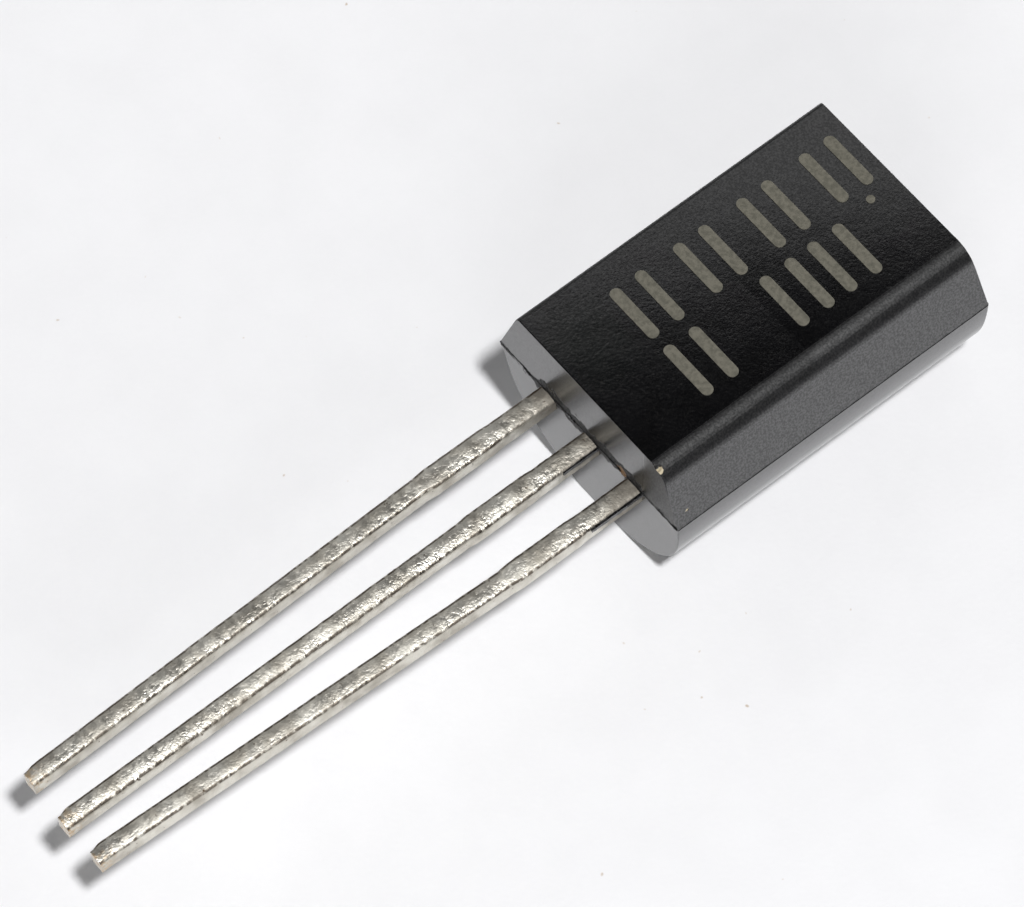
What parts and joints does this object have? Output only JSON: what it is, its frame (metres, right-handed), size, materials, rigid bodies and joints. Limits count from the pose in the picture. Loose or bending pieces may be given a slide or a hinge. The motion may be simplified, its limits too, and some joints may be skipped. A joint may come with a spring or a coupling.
{
  "type": "to-92 transistor",
  "caption": "Through-hole transistor: moulded block with a flat marking face, leaning sides and a rounded back, and flat parallel leads out of one end.",
  "frame": {"origin": "under the middle of the whole part's box, on the surface it rests on", "axes": "+Y along the leads, from their tips towards the body's far end; +Z out of the marking face, away from the rounded back it lies on; +X from the emitter lead to the base lead"},
  "size_m": [0.006, 0.0224, 0.0048],
  "materials": {
    "epoxy": "matte",
    "tinned_lead": "satin",
    "silicon": "polished",
    "solder": "satin",
    "electrode": "satin",
    "gold_wire": "polished",
    "ink": "matte"
  },
  "bodies": {
    "root": {"epoxy_body": "epoxy", "emitter_lead": "tinned_lead", "collector_lead": "tinned_lead", "base_lead": "tinned_lead", "silicon_die": "silicon", "die_attach_solder": "solder", "emitter_electrode": "electrode", "base_electrode": "electrode", "emitter_bond_wire": "gold_wire", "base_bond_wire": "gold_wire", "ink_marking": "ink"}
  },
  "joints": []
}
